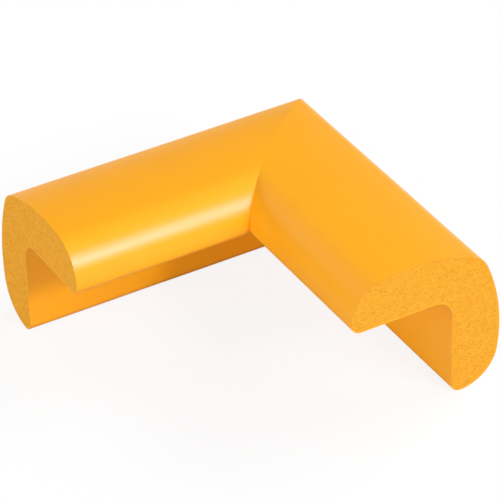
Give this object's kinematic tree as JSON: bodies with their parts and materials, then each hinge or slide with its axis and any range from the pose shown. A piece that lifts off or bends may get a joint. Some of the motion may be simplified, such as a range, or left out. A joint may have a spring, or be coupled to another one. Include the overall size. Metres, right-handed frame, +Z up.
{
  "type": "furniture corner protector",
  "caption": "Soft foam cushion for the corner of a table top or shelf: two mitred limbs with an L-shaped section and a rounded back, open below and inside for the furniture.",
  "frame": {"origin": "the furniture's corner point, where the planes of the three flat seats meet", "axes": "+Z up, away from the furniture's top; the left limb runs along -X and the right limb along -Y"},
  "size_m": [0.0855, 0.0855, 0.04],
  "materials": {
    "foam": "satin extruded skin, fine foam cells on the two sawn ends"
  },
  "bodies": {
    "root": {"corner_protector": "foam"}
  },
  "joints": []
}
